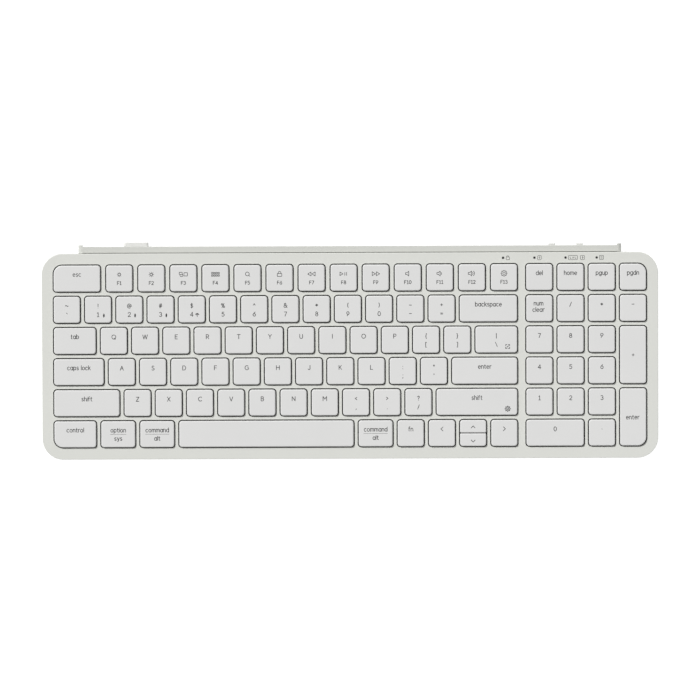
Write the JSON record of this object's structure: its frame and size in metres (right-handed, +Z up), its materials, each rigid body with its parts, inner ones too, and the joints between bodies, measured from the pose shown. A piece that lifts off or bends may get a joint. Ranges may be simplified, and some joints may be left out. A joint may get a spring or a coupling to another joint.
{
  "type": "keyboard with numeric keypad",
  "caption": "Slim wireless keyboard with an integrated numeric keypad: low keycaps in a one-piece top case, raised rear bar with socket, slide switches and stored receiver.",
  "frame": {"origin": "on the table under the middle of the whole object, feet at z = 0", "axes": "+X to the right as typed on, +Y to the rear, +Z up"},
  "size_m": [0.3762, 0.1326, 0.0155],
  "materials": {
    "case_plastic": "fine moulded texture, warm light grey",
    "cover_plastic": "fine moulded texture, warm light grey",
    "bar_plastic": "fine moulded texture, warm light grey",
    "panel_plastic": "satin light grey",
    "keycap_plastic": "satin, very light grey with printed mid-grey legends",
    "receiver_plastic": "satin light grey",
    "knob_plastic": "satin light grey",
    "lens_plastic": "smoked translucent",
    "foot_rubber": "matt dark grey",
    "dome_silicone": "translucent silicone",
    "link_plastic": "natural acetal",
    "plate_steel": "rolled sheet",
    "membrane_film": "printed film",
    "wire_steel": "drawn wire",
    "circuit_board": "solder mask",
    "component_black": "moulded package",
    "battery_wrap": "foil pouch",
    "socket_steel": "drawn shell",
    "switch_metal": "folded shell",
    "plug_steel": "drawn shell",
    "screw_steel": "zinc plated"
  },
  "bodies": {
    "case": {"base_plate": "plate_steel", "battery_pack": "battery_wrap", "board_components": "component_black", "bottom_cover": "cover_plastic", "case_screws": "screw_steel", "indicator_lenses": "lens_plastic", "main_circuit_board": "circuit_board", "membrane_circuit": "membrane_film", "rear_bar_shell": "bar_plastic", "rear_port_panel": "panel_plastic", "rubber_domes": "dome_silicone", "rubber_feet": "foot_rubber", "scissor_inner_links": "link_plastic", "scissor_outer_links": "link_plastic", "slide_switch_bodies": "switch_metal", "stabiliser_bars": "wire_steel", "top_case": "case_plastic", "usb_c_socket": "socket_steel"},
    "receiver": {"receiver_grip": "receiver_plastic", "receiver_plug": "plug_steel"},
    "mode_switch": {"mode_switch_knob": "knob_plastic"},
    "system_switch": {"system_switch_knob": "knob_plastic"},
    "bottom_letter_row_keys": {"bottom_letter_row_keys": "keycap_plastic"},
    "function_row_keys": {"function_row_keys": "keycap_plastic"},
    "home_letter_row_keys": {"home_letter_row_keys": "keycap_plastic"},
    "key_0": {"key_0": "keycap_plastic"},
    "key_1": {"key_1": "keycap_plastic"},
    "key_2": {"key_2": "keycap_plastic"},
    "key_3": {"key_3": "keycap_plastic"},
    "key_4": {"key_4": "keycap_plastic"},
    "key_5": {"key_5": "keycap_plastic"},
    "key_6": {"key_6": "keycap_plastic"},
    "key_7": {"key_7": "keycap_plastic"},
    "key_8": {"key_8": "keycap_plastic"},
    "key_9": {"key_9": "keycap_plastic"},
    "key_backspace": {"key_backspace": "keycap_plastic"},
    "key_caps_lock": {"key_caps_lock": "keycap_plastic"},
    "key_decimal": {"key_decimal": "keycap_plastic"},
    "key_delete": {"key_delete": "keycap_plastic"},
    "key_divide": {"key_divide": "keycap_plastic"},
    "key_down": {"key_down": "keycap_plastic"},
    "key_enter": {"key_enter": "keycap_plastic"},
    "key_home": {"key_home": "keycap_plastic"},
    "key_keypad_enter": {"key_keypad_enter": "keycap_plastic"},
    "key_left": {"key_left": "keycap_plastic"},
    "key_left_shift": {"key_left_shift": "keycap_plastic"},
    "key_minus": {"key_minus": "keycap_plastic"},
    "key_multiply": {"key_multiply": "keycap_plastic"},
    "key_num_lock": {"key_num_lock": "keycap_plastic"},
    "key_page_down": {"key_page_down": "keycap_plastic"},
    "key_page_up": {"key_page_up": "keycap_plastic"},
    "key_plus": {"key_plus": "keycap_plastic"},
    "key_right": {"key_right": "keycap_plastic"},
    "key_right_shift": {"key_right_shift": "keycap_plastic"},
    "key_space": {"key_space": "keycap_plastic"},
    "key_tab": {"key_tab": "keycap_plastic"},
    "key_up": {"key_up": "keycap_plastic"},
    "modifier_keys": {"modifier_keys": "keycap_plastic"},
    "number_row_keys": {"number_row_keys": "keycap_plastic"},
    "top_letter_row_keys": {"top_letter_row_keys": "keycap_plastic"}
  },
  "joints": [
    {"name": "receiver_pull", "type": "slide", "parent": "case", "child": "receiver", "axis": [0, 1, 0], "range_m": [0, 0.02]},
    {"name": "mode_switch_slide", "type": "slide", "parent": "case", "child": "mode_switch", "axis": [1, 0, 0], "range_m": [-0.002, 0.002]},
    {"name": "system_switch_slide", "type": "slide", "parent": "case", "child": "system_switch", "axis": [1, 0, 0], "range_m": [0, 0.002]},
    {"name": "press_bottom_letter_row_keys", "type": "slide", "parent": "case", "child": "bottom_letter_row_keys", "axis": [0, 0.0698, -0.9976], "range_m": [0, 0.0014], "stiffness_N_per_m": 400, "springref_m": -0.0003, "deforming": ["rubber_domes", "scissor_outer_links", "scissor_inner_links", "stabiliser_bars"]},
    {"name": "press_function_row_keys", "type": "slide", "parent": "case", "child": "function_row_keys", "axis": [0, 0.0698, -0.9976], "range_m": [0, 0.0014], "stiffness_N_per_m": 400, "springref_m": -0.0003, "deforming": ["rubber_domes", "scissor_outer_links", "scissor_inner_links", "stabiliser_bars"]},
    {"name": "press_home_letter_row_keys", "type": "slide", "parent": "case", "child": "home_letter_row_keys", "axis": [0, 0.0698, -0.9976], "range_m": [0, 0.0014], "stiffness_N_per_m": 400, "springref_m": -0.0003, "deforming": ["rubber_domes", "scissor_outer_links", "scissor_inner_links", "stabiliser_bars"]},
    {"name": "press_0", "type": "slide", "parent": "case", "child": "key_0", "axis": [0, 0.0698, -0.9976], "range_m": [0, 0.0014], "stiffness_N_per_m": 400, "springref_m": -0.0003, "deforming": ["rubber_domes", "scissor_outer_links", "scissor_inner_links", "stabiliser_bars"]},
    {"name": "press_1", "type": "slide", "parent": "case", "child": "key_1", "axis": [0, 0.0698, -0.9976], "range_m": [0, 0.0014], "stiffness_N_per_m": 400, "springref_m": -0.0003, "deforming": ["rubber_domes", "scissor_outer_links", "scissor_inner_links", "stabiliser_bars"]},
    {"name": "press_2", "type": "slide", "parent": "case", "child": "key_2", "axis": [0, 0.0698, -0.9976], "range_m": [0, 0.0014], "stiffness_N_per_m": 400, "springref_m": -0.0003, "deforming": ["rubber_domes", "scissor_outer_links", "scissor_inner_links", "stabiliser_bars"]},
    {"name": "press_3", "type": "slide", "parent": "case", "child": "key_3", "axis": [0, 0.0698, -0.9976], "range_m": [0, 0.0014], "stiffness_N_per_m": 400, "springref_m": -0.0003, "deforming": ["rubber_domes", "scissor_outer_links", "scissor_inner_links", "stabiliser_bars"]},
    {"name": "press_4", "type": "slide", "parent": "case", "child": "key_4", "axis": [0, 0.0698, -0.9976], "range_m": [0, 0.0014], "stiffness_N_per_m": 400, "springref_m": -0.0003, "deforming": ["rubber_domes", "scissor_outer_links", "scissor_inner_links", "stabiliser_bars"]},
    {"name": "press_5", "type": "slide", "parent": "case", "child": "key_5", "axis": [0, 0.0698, -0.9976], "range_m": [0, 0.0014], "stiffness_N_per_m": 400, "springref_m": -0.0003, "deforming": ["rubber_domes", "scissor_outer_links", "scissor_inner_links", "stabiliser_bars"]},
    {"name": "press_6", "type": "slide", "parent": "case", "child": "key_6", "axis": [0, 0.0698, -0.9976], "range_m": [0, 0.0014], "stiffness_N_per_m": 400, "springref_m": -0.0003, "deforming": ["rubber_domes", "scissor_outer_links", "scissor_inner_links", "stabiliser_bars"]},
    {"name": "press_7", "type": "slide", "parent": "case", "child": "key_7", "axis": [0, 0.0698, -0.9976], "range_m": [0, 0.0014], "stiffness_N_per_m": 400, "springref_m": -0.0003, "deforming": ["rubber_domes", "scissor_outer_links", "scissor_inner_links", "stabiliser_bars"]},
    {"name": "press_8", "type": "slide", "parent": "case", "child": "key_8", "axis": [0, 0.0698, -0.9976], "range_m": [0, 0.0014], "stiffness_N_per_m": 400, "springref_m": -0.0003, "deforming": ["rubber_domes", "scissor_outer_links", "scissor_inner_links", "stabiliser_bars"]},
    {"name": "press_9", "type": "slide", "parent": "case", "child": "key_9", "axis": [0, 0.0698, -0.9976], "range_m": [0, 0.0014], "stiffness_N_per_m": 400, "springref_m": -0.0003, "deforming": ["rubber_domes", "scissor_outer_links", "scissor_inner_links", "stabiliser_bars"]},
    {"name": "press_backspace", "type": "slide", "parent": "case", "child": "key_backspace", "axis": [0, 0.0698, -0.9976], "range_m": [0, 0.0014], "stiffness_N_per_m": 400, "springref_m": -0.0003, "deforming": ["rubber_domes", "scissor_outer_links", "scissor_inner_links", "stabiliser_bars"]},
    {"name": "press_caps_lock", "type": "slide", "parent": "case", "child": "key_caps_lock", "axis": [0, 0.0698, -0.9976], "range_m": [0, 0.0014], "stiffness_N_per_m": 400, "springref_m": -0.0003, "deforming": ["rubber_domes", "scissor_outer_links", "scissor_inner_links", "stabiliser_bars"]},
    {"name": "press_decimal", "type": "slide", "parent": "case", "child": "key_decimal", "axis": [0, 0.0698, -0.9976], "range_m": [0, 0.0014], "stiffness_N_per_m": 400, "springref_m": -0.0003, "deforming": ["rubber_domes", "scissor_outer_links", "scissor_inner_links", "stabiliser_bars"]},
    {"name": "press_delete", "type": "slide", "parent": "case", "child": "key_delete", "axis": [0, 0.0698, -0.9976], "range_m": [0, 0.0014], "stiffness_N_per_m": 400, "springref_m": -0.0003, "deforming": ["rubber_domes", "scissor_outer_links", "scissor_inner_links", "stabiliser_bars"]},
    {"name": "press_divide", "type": "slide", "parent": "case", "child": "key_divide", "axis": [0, 0.0698, -0.9976], "range_m": [0, 0.0014], "stiffness_N_per_m": 400, "springref_m": -0.0003, "deforming": ["rubber_domes", "scissor_outer_links", "scissor_inner_links", "stabiliser_bars"]},
    {"name": "press_down", "type": "slide", "parent": "case", "child": "key_down", "axis": [0, 0.0698, -0.9976], "range_m": [0, 0.0014], "stiffness_N_per_m": 400, "springref_m": -0.0003, "deforming": ["rubber_domes", "scissor_outer_links", "scissor_inner_links", "stabiliser_bars"]},
    {"name": "press_enter", "type": "slide", "parent": "case", "child": "key_enter", "axis": [0, 0.0698, -0.9976], "range_m": [0, 0.0014], "stiffness_N_per_m": 400, "springref_m": -0.0003, "deforming": ["rubber_domes", "scissor_outer_links", "scissor_inner_links", "stabiliser_bars"]},
    {"name": "press_home", "type": "slide", "parent": "case", "child": "key_home", "axis": [0, 0.0698, -0.9976], "range_m": [0, 0.0014], "stiffness_N_per_m": 400, "springref_m": -0.0003, "deforming": ["rubber_domes", "scissor_outer_links", "scissor_inner_links", "stabiliser_bars"]},
    {"name": "press_keypad_enter", "type": "slide", "parent": "case", "child": "key_keypad_enter", "axis": [0, 0.0698, -0.9976], "range_m": [0, 0.0014], "stiffness_N_per_m": 400, "springref_m": -0.0003, "deforming": ["rubber_domes", "scissor_outer_links", "scissor_inner_links", "stabiliser_bars"]},
    {"name": "press_left", "type": "slide", "parent": "case", "child": "key_left", "axis": [0, 0.0698, -0.9976], "range_m": [0, 0.0014], "stiffness_N_per_m": 400, "springref_m": -0.0003, "deforming": ["rubber_domes", "scissor_outer_links", "scissor_inner_links", "stabiliser_bars"]},
    {"name": "press_left_shift", "type": "slide", "parent": "case", "child": "key_left_shift", "axis": [0, 0.0698, -0.9976], "range_m": [0, 0.0014], "stiffness_N_per_m": 400, "springref_m": -0.0003, "deforming": ["rubber_domes", "scissor_outer_links", "scissor_inner_links", "stabiliser_bars"]},
    {"name": "press_minus", "type": "slide", "parent": "case", "child": "key_minus", "axis": [0, 0.0698, -0.9976], "range_m": [0, 0.0014], "stiffness_N_per_m": 400, "springref_m": -0.0003, "deforming": ["rubber_domes", "scissor_outer_links", "scissor_inner_links", "stabiliser_bars"]},
    {"name": "press_multiply", "type": "slide", "parent": "case", "child": "key_multiply", "axis": [0, 0.0698, -0.9976], "range_m": [0, 0.0014], "stiffness_N_per_m": 400, "springref_m": -0.0003, "deforming": ["rubber_domes", "scissor_outer_links", "scissor_inner_links", "stabiliser_bars"]},
    {"name": "press_num_lock", "type": "slide", "parent": "case", "child": "key_num_lock", "axis": [0, 0.0698, -0.9976], "range_m": [0, 0.0014], "stiffness_N_per_m": 400, "springref_m": -0.0003, "deforming": ["rubber_domes", "scissor_outer_links", "scissor_inner_links", "stabiliser_bars"]},
    {"name": "press_page_down", "type": "slide", "parent": "case", "child": "key_page_down", "axis": [0, 0.0698, -0.9976], "range_m": [0, 0.0014], "stiffness_N_per_m": 400, "springref_m": -0.0003, "deforming": ["rubber_domes", "scissor_outer_links", "scissor_inner_links", "stabiliser_bars"]},
    {"name": "press_page_up", "type": "slide", "parent": "case", "child": "key_page_up", "axis": [0, 0.0698, -0.9976], "range_m": [0, 0.0014], "stiffness_N_per_m": 400, "springref_m": -0.0003, "deforming": ["rubber_domes", "scissor_outer_links", "scissor_inner_links", "stabiliser_bars"]},
    {"name": "press_plus", "type": "slide", "parent": "case", "child": "key_plus", "axis": [0, 0.0698, -0.9976], "range_m": [0, 0.0014], "stiffness_N_per_m": 400, "springref_m": -0.0003, "deforming": ["rubber_domes", "scissor_outer_links", "scissor_inner_links", "stabiliser_bars"]},
    {"name": "press_right", "type": "slide", "parent": "case", "child": "key_right", "axis": [0, 0.0698, -0.9976], "range_m": [0, 0.0014], "stiffness_N_per_m": 400, "springref_m": -0.0003, "deforming": ["rubber_domes", "scissor_outer_links", "scissor_inner_links", "stabiliser_bars"]},
    {"name": "press_right_shift", "type": "slide", "parent": "case", "child": "key_right_shift", "axis": [0, 0.0698, -0.9976], "range_m": [0, 0.0014], "stiffness_N_per_m": 400, "springref_m": -0.0003, "deforming": ["rubber_domes", "scissor_outer_links", "scissor_inner_links", "stabiliser_bars"]},
    {"name": "press_space", "type": "slide", "parent": "case", "child": "key_space", "axis": [0, 0.0698, -0.9976], "range_m": [0, 0.0014], "stiffness_N_per_m": 400, "springref_m": -0.0003, "deforming": ["rubber_domes", "scissor_outer_links", "scissor_inner_links", "stabiliser_bars"]},
    {"name": "press_tab", "type": "slide", "parent": "case", "child": "key_tab", "axis": [0, 0.0698, -0.9976], "range_m": [0, 0.0014], "stiffness_N_per_m": 400, "springref_m": -0.0003, "deforming": ["rubber_domes", "scissor_outer_links", "scissor_inner_links", "stabiliser_bars"]},
    {"name": "press_up", "type": "slide", "parent": "case", "child": "key_up", "axis": [0, 0.0698, -0.9976], "range_m": [0, 0.0014], "stiffness_N_per_m": 400, "springref_m": -0.0003, "deforming": ["rubber_domes", "scissor_outer_links", "scissor_inner_links", "stabiliser_bars"]},
    {"name": "press_modifier_keys", "type": "slide", "parent": "case", "child": "modifier_keys", "axis": [0, 0.0698, -0.9976], "range_m": [0, 0.0014], "stiffness_N_per_m": 400, "springref_m": -0.0003, "deforming": ["rubber_domes", "scissor_outer_links", "scissor_inner_links", "stabiliser_bars"]},
    {"name": "press_number_row_keys", "type": "slide", "parent": "case", "child": "number_row_keys", "axis": [0, 0.0698, -0.9976], "range_m": [0, 0.0014], "stiffness_N_per_m": 400, "springref_m": -0.0003, "deforming": ["rubber_domes", "scissor_outer_links", "scissor_inner_links", "stabiliser_bars"]},
    {"name": "press_top_letter_row_keys", "type": "slide", "parent": "case", "child": "top_letter_row_keys", "axis": [0, 0.0698, -0.9976], "range_m": [0, 0.0014], "stiffness_N_per_m": 400, "springref_m": -0.0003, "deforming": ["rubber_domes", "scissor_outer_links", "scissor_inner_links", "stabiliser_bars"]}
  ]
}
